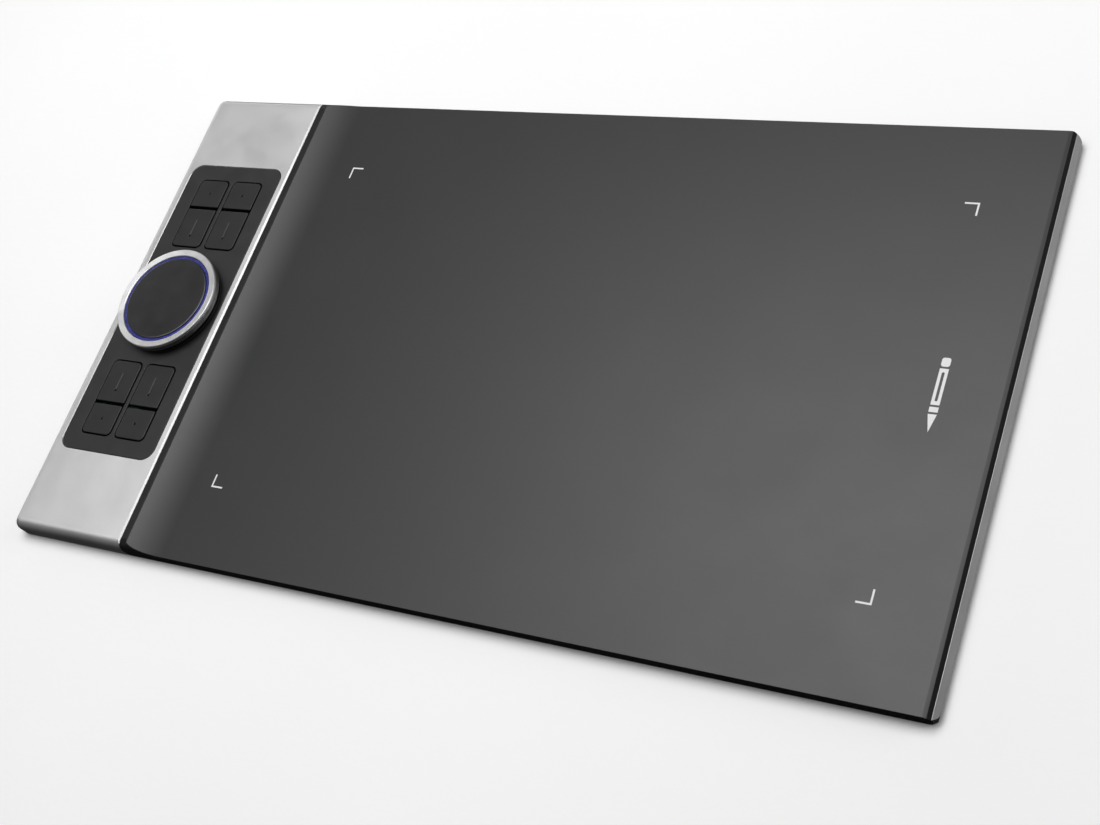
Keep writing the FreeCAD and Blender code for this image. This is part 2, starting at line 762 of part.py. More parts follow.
def make_base_ring():
    top = strip_top + base_ring_height
    return turned([(base_ring_bore, strip_top), (base_ring_radius, strip_top), (base_ring_radius, top - 0.15),
                   (base_ring_radius - 0.15, top), (base_ring_bore, top)])


def make_encoder_sensor():
    """Fork whose slot the code wheel's teeth pass through."""
    body = block(control_x - 3, control_x + 3, -26.0, -21.7, board_top, 7.0)
    return body.cut(block(control_x - 4, control_x + 4, -wheel_radius - 0.7, -20,
                          wheel_bottom - 0.25, sleeve_bottom + 0.3))


def make_detent_spring():
    """Leaf that stands beside the code wheel, its bent tip just clear of the teeth."""
    tip = wheel_radius + 0.15
    outline = [(27.5, 4.0), (24.2, 4.0), (23.7, 4.6), (tip, 5.55), (23.7, 6.5), (23.9, 6.5),
               (tip + 0.25, 5.55), (23.9, 4.7), (24.4, 4.2), (27.5, 4.2)]
    corners = [V(control_x - 2, y, z) for y, z in outline]
    return Part.Face(Part.makePolygon(corners + corners[:1])).extrude(V(4, 0, 0))


def make_dial_ribbon():
    """Flat cable from the touch board down through the pillar to its connector."""
    return block(control_x - 4, control_x + 4, 4.5, 4.65, board_top + 1.2, top_plate_top)


# ---- all nodes ----------------------------------------------------------------------
nodes = {
    "back_shell": make_back_shell(),
    "rubber_feet": make_feet(),
    "shell_screws": make_shell_screws(),
    "mid_frame": make_mid_frame(),
    "support_grid": make_support_grid(),
    "panel_tape": make_panel_tape(),
    "ramp_rail": make_ramp_rail(),
    "panel_plate": make_panel_plate(),
    "surface_film": make_surface_film(),
    "active_area_marks": group(corner_marks(panel_top - mark_depth, panel_top + 0.01)),
    "pen_pictogram": group(pen_marks(panel_top - mark_depth, panel_top + 0.01)),
    "digitizer_board": make_digitizer_board(),
    "shield_plate": make_shield_plate(),
    "sensor_ribbon": make_sensor_ribbon(),
    "strip_cover": make_strip_cover(),
    "strip_carrier": make_strip_carrier(),
    "control_bezel": make_bezel(),
    "main_board": make_main_board(),
    "board_chips": make_board_chips(),
    "ribbon_connectors": make_ribbon_connectors(),
    "board_screws": make_board_screws(),
    "usb_socket_shell": make_usb_shell(),
    "usb_socket_tongue": make_usb_tongue(),
    "dial_knob": make_dial_knob(),
    "dial_trim_ring": make_trim_ring(),
    "dial_code_wheel": make_code_wheel(),
    "dial_retaining_clip": make_retaining_clip(),
    "dial_slip_washer": make_slip_washer(),
    "dial_pillar": make_dial_pillar(),
    "dial_pillar_screws": make_pillar_screws(),
    "dial_top_plate": make_dial_top_plate(),
    "dial_touch_board": make_touch_board(),
    "dial_leds": make_dial_leds(),
    "dial_light_ring": make_light_ring(),
    "dial_touch_disc": make_touch_disc(),
    "dial_base_ring": make_base_ring(),
    "dial_ribbon": make_dial_ribbon(),
    "encoder_sensor": make_encoder_sensor(),
    "detent_spring": make_detent_spring(),
}

for side, side_name in ((1, "back"), (-1, "front")):
    for column, column_name in ((-1, "left"), (1, "right")):
        for long_key, kind in ((True, "long"), (False, "short")):
            place = f"{side_name}_{kind}_{column_name}"
            nodes["key_" + place] = make_key(column, side, long_key)
            nodes["dome_" + place] = make_dome(column, side, long_key)

os.makedirs("parts", exist_ok=True)
for name, shape in nodes.items():
    shape.exportStep(os.path.join("parts", name + ".step"))
    valid = "ok" if shape.isValid() else "INVALID"
    print(name, valid, len(shape.Solids), round(shape.Volume, 1))
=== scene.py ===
import bmesh
import bpy
import math
from mathutils import Euler, Matrix, Vector


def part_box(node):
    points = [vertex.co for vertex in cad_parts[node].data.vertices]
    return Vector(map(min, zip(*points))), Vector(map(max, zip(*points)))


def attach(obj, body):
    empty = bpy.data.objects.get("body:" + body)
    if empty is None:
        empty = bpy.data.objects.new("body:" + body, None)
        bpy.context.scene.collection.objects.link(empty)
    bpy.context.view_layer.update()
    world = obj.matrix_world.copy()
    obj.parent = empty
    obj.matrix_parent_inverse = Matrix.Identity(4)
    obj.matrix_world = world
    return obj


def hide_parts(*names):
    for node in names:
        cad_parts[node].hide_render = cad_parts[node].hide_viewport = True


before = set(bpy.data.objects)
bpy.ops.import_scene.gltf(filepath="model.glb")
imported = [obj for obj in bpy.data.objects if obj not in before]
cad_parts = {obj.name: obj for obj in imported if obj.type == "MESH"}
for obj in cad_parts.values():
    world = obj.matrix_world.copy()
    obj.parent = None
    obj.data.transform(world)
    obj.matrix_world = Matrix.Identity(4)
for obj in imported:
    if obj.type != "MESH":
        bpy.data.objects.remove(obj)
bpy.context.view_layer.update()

# Pen drawing tablet. Metres, in the CAD frame: +X to the panel's right edge, +Y back, +Z up.

MM = 0.001

# ---- driving sizes that the frame's boxes don't hold ---------------------------------
EDGE_ROLL = 4.0 * MM            # roll-over of the long edges, and of the strip's left corners
COVER_SKIN = 1.0 * MM
COVER_WALL = 1.2 * MM
CUT_CHAMFER = 0.35 * MM         # bright chamfer round the control opening
SIDE_CHAMFER = 0.8 * MM         # bright chamfer beside the panel
BEZEL_CORNER = 5.7 * MM
KEY_CORNER = 2.1 * MM
KEY_INNER_CORNER = 0.5 * MM
KEY_CLEARANCE = 0.6 * MM
KEY_EDGE = 0.3 * MM
RIDGE_HEIGHT = 0.15 * MM        # of the raised line on the long keys
RIDGE_HALF_LENGTH = 4.0 * MM
RIDGE_HALF_WIDTH = 0.3 * MM
DIMPLE_RADIUS = 0.75 * MM
DIMPLE_DEPTH = 0.25 * MM
SOCKET_GAP = 0.28 * MM          # between the USB socket and the cover round it
OPENING_GAP = 0.05 * MM         # between the bezel and the cover round it
SLEEVE_HOLE = 20.0 * MM         # radius of the dial's hole in the bezel
BEZEL_THICKNESS = 1.2 * MM
KEY_SKIN = 0.9 * MM             # depth to which a key cap's top is modelled apart from its core
BEVEL_RUN = 1.5 * MM            # of the bevel at the film's right edge
BEVEL_DROP = 0.25 * MM
GRIP_GROOVES = 120
GROOVE_DEPTH = 0.14 * MM
GROOVE_HALF = 0.19              # half width of a grip groove, as a share of their pitch
SKIRT_INSET = 2.2 * MM          # from the grip's rim to the knob's skirt
SKIRT_WALL = 1.2 * MM
WEB_DROP = 1.85 * MM            # from the grip's top to the knob's web
WEB_THICKNESS = 0.85 * MM
WELL_SHOULDER = 0.3 * MM        # by which the knob's well is wider than the trim ring's bore
TRIM_EDGE = 0.3 * MM
TRIM_DISH = 0.25 * MM
PAD_DISH = 0.6 * MM
PAD_RIM = 0.6 * MM
GUIDE_GAP = 0.1 * MM            # between the touch pad and the light guide
FOOT_HALF_LENGTH = 14.0 * MM
FOOT_HALF_WIDTH = 4.5 * MM


class Box:
    """Corners and middle of a CAD node at rest."""

    def __init__(self, low, high):
        self.x0, self.y0, self.z0 = low
        self.x1, self.y1, self.z1 = high
        self.x, self.y, self.z = (Vector(low) + Vector(high)) / 2


def node_box(name):
    return Box(*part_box(name))


def box_above(name, height):
    """The same, for only the part of the node that lies above a height."""
    points = [v.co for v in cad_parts[name].data.vertices if v.co.z > height]
    low = [min(p[i] for p in points) for i in range(3)]
    high = [max(p[i] for p in points) for i in range(3)]
    return Box(low, high)


def bore_radius(name):
    """Smallest distance of the node's surface from its own vertical axis."""
    middle = node_box(name)
    points = [v.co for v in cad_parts[name].data.vertices]
    return min(math.hypot(p.x - middle.x, p.y - middle.y) for p in points)


def lowest_near(name, radius, reach):
    """Lowest point of a turned node within 'reach' of a radius."""
    middle = node_box(name)
    points = [v.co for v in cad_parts[name].data.vertices]
    return min(p.z for p in points if abs(math.hypot(p.x - middle.x, p.y - middle.y) - radius) < reach)


strip = node_box("strip_cover")
film = node_box("surface_film")
plate_box = node_box("panel_plate")
lip = node_box("ramp_rail")
marks = node_box("active_area_marks")
knob = node_box("dial_knob")
trim = node_box("dial_trim_ring")
disc = node_box("dial_touch_disc")
glow = node_box("dial_light_ring")
skirt_ring = node_box("dial_base_ring")
bezel = box_above("control_bezel", strip.z1 - COVER_SKIN / 2)
knob_sleeve = bore_radius("dial_knob")

PRINT_PROUD = 0.01 * MM
panel_top = marks.z1 - PRINT_PROUD
ramp_start = plate_box.x0
ramp_run = ramp_start - film.x0
ramp_rise = film.z1 - panel_top
ramp_radius = (ramp_run ** 2 + ramp_rise ** 2) / (2 * ramp_rise)
film_thickness = panel_top - film.z0


# ---- outline helpers -----------------------------------------------------------------
def fillet(points, steps=6):
    """Closed outline from (u, v, radius) corners, each corner turned into an arc."""
    outline = []
    for index, (u, v, radius) in enumerate(points):
        here = Vector((u, v))
        if radius <= 0:
            outline.append(here)
            continue
        before = (Vector(points[index - 1][:2]) - here).normalized()
        after = (Vector(points[(index + 1) % len(points)][:2]) - here).normalized()
        half = before.angle(after) / 2
        centre = here + (before + after).normalized() * (radius / math.sin(half))
        first = here + before * (radius / math.tan(half)) - centre
        last = here + after * (radius / math.tan(half)) - centre
        sweep = first.angle(last)
        for step in range(steps + 1):
            share = step / steps
            a = math.sin((1 - share) * sweep) / math.sin(sweep)
            b = math.sin(share * sweep) / math.sin(sweep)
            outline.append(centre + first * a + last * b)
    return outline


def rounded_rectangle(x0, x1, y0, y1, radii, steps=8):
    """Radii go round from the low corner: (x0, y0), (x1, y0), (x1, y1), (x0, y1)."""
    corners = [(x0, y0), (x1, y0), (x1, y1), (x0, y1)]
    return fillet([(x, y, r) for (x, y), r in zip(corners, radii)], steps)


def circle(x, y, radius, steps=128):
    angles = [2 * math.pi * step / steps for step in range(steps)]
    return [Vector((x + radius * math.cos(a), y + radius * math.sin(a))) for a in angles]


# ---- mesh helpers --------------------------------------------------------------------
def finish_piece(name, bm, body, finishes, nodes, sharp=32):
    """Turns a bmesh into a smooth-shaded piece that rides on a body and stands for CAD nodes."""
    bmesh.ops.remove_doubles(bm, verts=bm.verts, dist=1e-7)
    bmesh.ops.dissolve_degenerate(bm, edges=bm.edges, dist=1e-8)
    bmesh.ops.recalc_face_normals(bm, faces=bm.faces)
    mesh = bpy.data.meshes.new(name)
    bm.to_mesh(mesh)
    bm.free()
    mesh.shade_smooth()
    mesh.set_sharp_from_angle(angle=math.radians(sharp))
    for finish in finishes:
        mesh.materials.append(finish)
    piece = bpy.data.objects.new(name, mesh)
    bpy.context.scene.collection.objects.link(piece)
    weighting = piece.modifiers.new("weighted_normals", "WEIGHTED_NORMAL")
    weighting.keep_sharp = True
    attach(piece, body)
    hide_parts(*nodes)
    return piece


def ring_faces(bm, rings, close_ends=True):
    """Quads between closed rings of equal length."""
    count = len(rings[0])
    for lower, upper in zip(rings, rings[1:]):
        for i in range(count):
            j = (i + 1) % count
            bm.faces.new((lower[i], lower[j], upper[j], upper[i]))
    if close_ends:
        bm.faces.new(list(reversed(rings[0])))
        bm.faces.new(rings[-1])


def lathe(profile, x, y, segments=256, wave=None):
    """Closed (radius, height) profile turned round a vertical axis. wave(angle, radius) gives what
    is taken off the radius there."""
    bm = bmesh.new()
    rings = []
    for segment in range(segments):
        angle = 2 * math.pi * segment / segments
        ring = []
        for radius, height in profile:
            r = radius - (wave(angle, radius) if wave else 0)
            ring.append(bm.verts.new((x + r * math.cos(angle), y + r * math.sin(angle), height)))
        rings.append(ring)
    ring_faces(bm, rings + rings[:1], close_ends=False)
    return bm


def lofted(sections):
    """Closed rings of (x, y, z) points, joined in order, with flat ends."""
    bm = bmesh.new()
    rings = [[bm.verts.new(point) for point in section] for section in sections]
    ring_faces(bm, rings)
    return bm


def plate(outlines, z0, z1, edge, steps=3):
    """Flat plate of the first outline with the others as holes, and all its edges rounded.
    The curve is filled in millimetres, because the fill needs points well apart."""
    curve = bpy.data.curves.new("outline", "CURVE")
    curve.dimensions = "2D"
    curve.fill_mode = "BOTH"
    curve.bevel_depth = edge / MM
    curve.bevel_resolution = steps
    curve.offset = -edge / MM
    curve.extrude = ((z1 - z0) / 2 - edge) / MM
    for outline in outlines:
        spline = curve.splines.new("POLY")
        spline.points.add(len(outline) - 1)
        for point, (x, y) in zip(spline.points, outline):
            point.co = (x / MM, y / MM, 0, 1)
        spline.use_cyclic_u = True
    holder = bpy.data.objects.new("outline", curve)
    bpy.context.scene.collection.objects.link(holder)
    depsgraph = bpy.context.evaluated_depsgraph_get()
    mesh = bpy.data.meshes.new_from_object(holder.evaluated_get(depsgraph))
    bpy.data.objects.remove(holder)
    mesh.transform(Matrix.Translation((0, 0, (z0 + z1) / 2)) @ Matrix.Scale(MM, 4))
    bm = bmesh.new()
    bm.from_mesh(mesh)
    bpy.data.meshes.remove(mesh)
    return bm


def joined(parts):
    """One bmesh that holds all the given ones as separate shells."""
    whole = bmesh.new()
    for part in parts:
        mesh = bpy.data.meshes.new("part")
        part.to_mesh(mesh)
        part.free()
        whole.from_mesh(mesh)
        bpy.data.meshes.remove(mesh)
    return whole


def cut_by(bm, cutter):
    """The first shape less the second."""
    holders = []
    for shape in (bm, cutter):
        bmesh.ops.recalc_face_normals(shape, faces=shape.faces)
        mesh = bpy.data.meshes.new("part")
        shape.to_mesh(mesh)
        shape.free()
        holder = bpy.data.objects.new("part", mesh)
        bpy.context.scene.collection.objects.link(holder)
        holders.append(holder)
    cut = holders[0].modifiers.new("cut", "BOOLEAN")
    cut.object = holders[1]
    cut.solver = "EXACT"
    depsgraph = bpy.context.evaluated_depsgraph_get()
    mesh = bpy.data.meshes.new_from_object(holders[0].evaluated_get(depsgraph))
    for holder in holders:
        bpy.data.objects.remove(holder)
    result = bmesh.new()
    result.from_mesh(mesh)
    bpy.data.meshes.remove(mesh)
    return result


# ---- materials -----------------------------------------------------------------------
class Finish:
    """A procedural material round one Principled shader, in the object's own coordinates."""

    def __init__(self, name, **shader):
        self.data = bpy.data.materials.new(name)
        self.data.use_nodes = True
        self.tree = self.data.node_tree
        self.shader = self.tree.nodes["Principled BSDF"]
        for socket, value in shader.items():
            self.shader.inputs[socket.replace("_", " ").title().replace("Ior", "IOR")].default_value = value
        self.place = self.add("TexCoord").outputs["Object"]

    def add(self, kind, inputs=None, **settings):
        node = self.tree.nodes.new("ShaderNode" + kind)
        for key, value in settings.items():
            setattr(node, key, value)
        for key, value in (inputs or {}).items():
            self.feed(node.inputs[key], value)
        return node

    def feed(self, socket, value):
        if isinstance(value, bpy.types.NodeSocket):
            self.tree.links.new(value, socket)
        else:
            socket.default_value = value

    def noise(self, size, detail=3.0, place=None, roughness=0.55):
        """Cloudy pattern, 0 to 1, whose blotches are about 'size' across."""
        settings = {"Vector": place or self.place, "Scale": 1 / size, "Detail": detail,
                    "Roughness": roughness}
        return self.add("TexNoise", settings).outputs["Fac"]

    def cells(self, size):
        settings = {"Vector": self.place, "Scale": 1 / size}
        return self.add("TexVoronoi", settings).outputs["Distance"]

    def spread(self, value, low, high, start=0.3, end=0.7):
        settings = {"Value": value, "From Min": start, "From Max": end, "To Min": low, "To Max": high}
        return self.add("MapRange", settings).outputs["Result"]

    def math(self, operation, a, b=0.0):
        return self.add("Math", {0: a, 1: b}, operation=operation).outputs[0]

    def mix(self, share, first, second):
        node = self.add("Mix", data_type="RGBA")
        self.feed(node.inputs["Factor"], share)
        self.feed(node.inputs[6], first)
        self.feed(node.inputs[7], second)
        return node.outputs[2]

    def edge_wear_and_highlight(self, width):
        """1 on convex edges within 'width', 0 on flats, broken up by a fine cloud. Used to paint edges
        lighter: rubbed edges, and on the black plastics and the film also a painted edge highlight.
        """
        soft = self.add("Bevel", {"Radius": width}, samples=4).outputs["Normal"]
        hard = self.add("NewGeometry").outputs["Normal"]
        likeness = self.add("VectorMath", {0: soft, 1: hard}, operation="DOT_PRODUCT").outputs["Value"]
        edge = self.spread(likeness, 1.0, 0.0, 0.90, 0.995)
        return self.math("MULTIPLY", edge, self.spread(self.noise(0.9 * MM), 0.2, 1.0))

    def bump(self, height, depth, strength=1.0, before=None):
        settings = {"Height": height, "Distance": depth, "Strength": strength}
        if before:
            settings["Normal"] = before
        return self.add("Bump", settings).outputs["Normal"]

    def colour(self, value):
        self.feed(self.shader.inputs["Base Color"], value)

    def roughness(self, value):
        self.feed(self.shader.inputs["Roughness"], value)

    def normal(self, value):
        self.feed(self.shader.inputs["Normal"], value)


def grey(value, tint=(1.0, 1.0, 1.0)):
    return tuple(value * t for t in tint) + (1.0,)


def moulded(name, dark, light, rough, grain, depth, rubbed_and_lit_edge=None, edge_width=0.25 * MM, **shader):
    """Moulded plastic or rubber: spark-eroded grain, slightly uneven colour and gloss, and convex edges
    painted lighter where an edge tone is given, partly rubbed edges and partly a painted edge highlight.
    """
    f = Finish(name, **shader)
    cloud = f.noise(9 * MM, 4)
    fine = f.noise(grain, 2)
    base = f.mix(f.spread(cloud, 0, 1), dark, light)
    if rubbed_and_lit_edge:
        base = f.mix(f.edge_wear_and_highlight(edge_width), base, rubbed_and_lit_edge)
    f.colour(base)
    f.roughness(f.spread(f.math("ADD", f.math("MULTIPLY", cloud, 0.5), f.math("MULTIPLY", fine, 0.5)),
                         rough[0], rough[1]))
    f.normal(f.bump(fine, depth))
    return f.data


def blasted(name, dark, light, rough, grain, depth, rubbed_and_lit_edge=None, **shader):
    """Bead-blasted, anodised metal: dense pits, with faint handling marks in the gloss."""
    f = Finish(name, metallic=1.0, **shader)
    pits = f.noise(grain, 2)
    cloud = f.noise(22 * MM, 5, roughness=0.65)
    base = f.mix(f.spread(pits, 0, 1), dark, light)
    if rubbed_and_lit_edge:
        base = f.mix(f.edge_wear_and_highlight(0.2 * MM), base, rubbed_and_lit_edge)
    f.colour(base)
    f.roughness(f.spread(cloud, rough[0], rough[1]))
    f.normal(f.bump(pits, depth))
    return f.data


def turned_metal(name, dark, light, rough, pitch, depth, **shader):
    """Metal with the fine rings of a lathe tool round the dial's axis."""
    f = Finish(name, metallic=1.0, **shader)
    centred = f.add("VectorMath", {0: f.place, 1: (knob.x, knob.y, 0)}, operation="SUBTRACT")
    flat = f.add("VectorMath", {0: centred.outputs["Vector"], 1: (1, 1, 0)}, operation="MULTIPLY")
    radius = f.add("VectorMath", {0: flat.outputs["Vector"]}, operation="LENGTH").outputs["Value"]
    rings = f.add("TexNoise", {"W": f.math("DIVIDE", radius, pitch), "Scale": 1.0, "Detail": 2.0},
                  noise_dimensions="1D").outputs["Fac"]
    cloud = f.noise(6 * MM, 4)
    f.colour(f.mix(f.spread(rings, 0, 1), dark, light))
    f.roughness(f.spread(cloud, rough[0], rough[1]))
    f.normal(f.bump(rings, depth))
    return f.data


def drawing_surface():
    """Matt paper-feel film: a fine tooth in the surface and the faint polish of a pen."""
    f = Finish("drawing_film", specular_ior_level=0.56)
    tooth = f.noise(0.16 * MM, 2)
    cloud = f.noise(35 * MM, 5, roughness=0.6)
    stretched = f.add("Mapping", {"Vector": f.place, "Rotation": (0, 0, 0.6), "Scale": (1.0, 14.0, 1.0)})
    strokes = f.noise(11 * MM, 6, stretched.outputs["Vector"], 0.7)
    base = f.mix(f.spread(tooth, 0, 1), grey(0.007), grey(0.011, (1.0, 1.01, 1.03)))
    # The film's convex edges are painted light grey: partly rubbed edges, partly a painted edge highlight.
    f.colour(f.mix(f.edge_wear_and_highlight(0.15 * MM), base, grey(0.06)))
    polish = f.math("ADD", f.math("MULTIPLY", cloud, 0.6), f.math("MULTIPLY", strokes, 0.4))
    f.roughness(f.spread(polish, 0.47, 0.42))
    f.normal(f.bump(tooth, 0.006 * MM))
    return f.data


def printed_ink(name):
    f = Finish(name)
    speck = f.noise(0.12 * MM, 2)
    f.colour(f.mix(f.spread(speck, 0, 1), grey(0.62), grey(0.78)))
    f.roughness(f.spread(speck, 0.45, 0.6))
    f.normal(f.bump(speck, 0.003 * MM))
    return f.data


def tinted_guide():
    """Milky blue light guide, with flow lines from its moulding."""
    f = Finish("light_guide", ior=1.49, coat_weight=0.25, coat_roughness=0.2)
    cloud = f.noise(3 * MM, 4)
    f.colour(f.mix(f.spread(cloud, 0, 1), (0.018, 0.020, 0.14, 1), (0.045, 0.05, 0.27, 1)))
    f.roughness(f.spread(f.noise(0.4 * MM), 0.22, 0.34))
    f.normal(f.bump(f.noise(0.5 * MM, 2), 0.01 * MM))
    return f.data


def board(name, mask, copper):
    """Circuit board: copper runs under solder mask, with plated holes."""
    f = Finish(name, coat_weight=0.3, coat_roughness=0.2)
    runs = f.add("TexBrick", {"Vector": f.place, "Scale": 1 / (6 * MM), "Mortar Size": 0.06,
                              "Color1": mask, "Color2": grey(0.8, mask[:3]), "Mortar": copper})
    holes = f.spread(f.cells(2.6 * MM), 1, 0, 0.10, 0.14)
    f.colour(f.mix(holes, runs.outputs["Color"], grey(0.55, (1.0, 0.85, 0.5))))
    f.roughness(f.spread(f.noise(1.5 * MM), 0.3, 0.5))
    f.normal(f.bump(runs.outputs["Fac"], 0.03 * MM))
    return f.data


cover_metal = blasted("strip_aluminium", grey(0.76), grey(0.82, (1.0, 1.0, 1.005)),
                      (0.40, 0.46), 0.14 * MM, 0.004 * MM)
bright_cut = blasted("bright_cut", grey(0.86), grey(0.92), (0.22, 0.30), 0.3 * MM, 0.001 * MM)
shell_metal = blasted("shell_aluminium", grey(0.30), grey(0.36), (0.44, 0.52), 0.14 * MM, 0.004 * MM)
trim_metal = turned_metal("trim_aluminium", grey(0.86), grey(0.95), (0.36, 0.42), 0.09 * MM, 0.003 * MM)
knob_metal = blasted("knob_grip", grey(0.21), grey(0.27), (0.36, 0.44), 0.12 * MM, 0.003 * MM,
                     rubbed_and_lit_edge=grey(0.24))
disc_coat = moulded("touch_disc", grey(0.007), grey(0.010), (0.28, 0.34), 0.15 * MM, 0.002 * MM,
                    specular_ior_level=0.9)
guide = tinted_guide()
# Bezel and keys: edges painted far lighter than the faces, partly rubbed edges and partly a painted edge
# highlight.
bezel_coat = moulded("bezel_plastic", grey(0.006), grey(0.010), (0.42, 0.52), 0.22 * MM, 0.006 * MM,
                     rubbed_and_lit_edge=grey(0.05))
key_coat = moulded("key_plastic", grey(0.004), grey(0.007), (0.42, 0.52), 0.2 * MM, 0.005 * MM,
                   rubbed_and_lit_edge=grey(0.05), specular_ior_level=0.45)
# Near-black, dull finish for the key's core, whose top shows only at the dimple's floor: painted shade in
# the dimple.
key_recess = moulded("key_recess", grey(0.001), grey(0.002), (0.6, 0.7), 0.2 * MM, 0.005 * MM,
                     specular_ior_level=0.1)
# Lighter grey for the raised line on the long keys: a painted highlight along the ridge.
key_ridge = moulded("key_ridge", grey(0.030), grey(0.042), (0.40, 0.48), 0.1 * MM, 0.003 * MM)
# Frame and lip: edges painted lighter than the faces, partly rubbed edges and partly a painted edge
# highlight.
frame_coat = moulded("frame_plastic", grey(0.003), grey(0.006), (0.5, 0.65), 0.3 * MM, 0.01 * MM,
                     rubbed_and_lit_edge=grey(0.015), specular_ior_level=0.25)
lip_coat = moulded("lip_plastic", grey(0.004), grey(0.007), (0.42, 0.52), 0.25 * MM, 0.008 * MM,
                   rubbed_and_lit_edge=grey(0.02), specular_ior_level=0.3)
film_coat = drawing_surface()
ink = printed_ink("white_print")
rubber = moulded("foot_rubber", grey(0.020), grey(0.032), (0.75, 0.9), 0.5 * MM, 0.03 * MM)
silicone = moulded("silicone", grey(0.30), grey(0.36), (0.5, 0.65), 0.6 * MM, 0.02 * MM)
chip_case = moulded("chip_case", grey(0.015), grey(0.03), (0.4, 0.6), 0.1 * MM, 0.01 * MM)
tape_foam = moulded("tape", grey(0.02), grey(0.05), (0.7, 0.9), 0.4 * MM, 0.02 * MM)
led_lens = moulded("led_lens", grey(0.65, (1, 0.97, 0.8)), grey(0.75, (1, 0.97, 0.8)), (0.2, 0.3),
                   0.2 * MM, 0.005 * MM)
flex_film = moulded("flex", (0.45, 0.20, 0.04, 1), (0.55, 0.27, 0.06, 1), (0.25, 0.4), 0.5 * MM, 0.01 * MM)
steel = blasted("socket_steel", grey(0.50), grey(0.62), (0.22, 0.34), 0.4 * MM, 0.004 * MM, rubbed_and_lit_edge=grey(0.8))
screw_metal = blasted("screw_steel", grey(0.10), grey(0.16), (0.3, 0.42), 0.3 * MM, 0.004 * MM,
                      rubbed_and_lit_edge=grey(0.5))
spring_metal = blasted("spring_steel", grey(0.45), grey(0.55), (0.2, 0.3), 0.5 * MM, 0.004 * MM)
shield_metal = blasted("shield_steel", grey(0.48), grey(0.58), (0.3, 0.45), 1.0 * MM, 0.006 * MM)
circuit = board("circuit_board", (0.01, 0.05, 0.025, 1), (0.03, 0.12, 0.05, 1))

SLOT_FINISHES = {
    "shell_aluminium": shell_metal, "strip_aluminium": cover_metal, "trim_aluminium": trim_metal,
    "frame_plastic": frame_coat, "film": film_coat, "white_print": ink, "bezel_plastic": bezel_coat,
    "key_plastic": key_coat, "knob_plastic": knob_metal, "touch_disc": disc_coat, "light_guide": guide,
    "circuit_board": circuit, "chip": chip_case, "led": led_lens, "flex": flex_film,
    "socket_steel": steel, "screw_steel": screw_metal, "spring_steel": spring_metal,
    "shield_steel": shield_metal, "silicone": silicone, "rubber": rubber, "tape": tape_foam,
}

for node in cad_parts.values():
    for holder in node.material_slots:
        holder.material = SLOT_FINISHES[holder.material.name.split(".")[0]]


# ---- control strip cover -------------------------------------------------------------
def cover_ring(z, inset, roll, corner, chamfer):
    """Outline of the cover at height z, its left, front and back sides rolled in near the top."""
    start = strip.z1 - (EDGE_ROLL - roll) - roll
    up = max(0.0, z - start)
    pull = roll - math.sqrt(max(0.0, roll ** 2 - up ** 2))
    left = strip.x0 + inset + pull
    right = strip.x1 - inset - max(0.0, z - (strip.z1 - chamfer)) * (chamfer > 0)
    near = strip.y0 + inset + pull
    far = strip.y1 - inset - pull
    radius = max(corner - pull, 1e-6)
    outline = rounded_rectangle(left, right, near, far, (radius, 0, 0, radius), 10)
    return [(x, y, z) for x, y in outline]


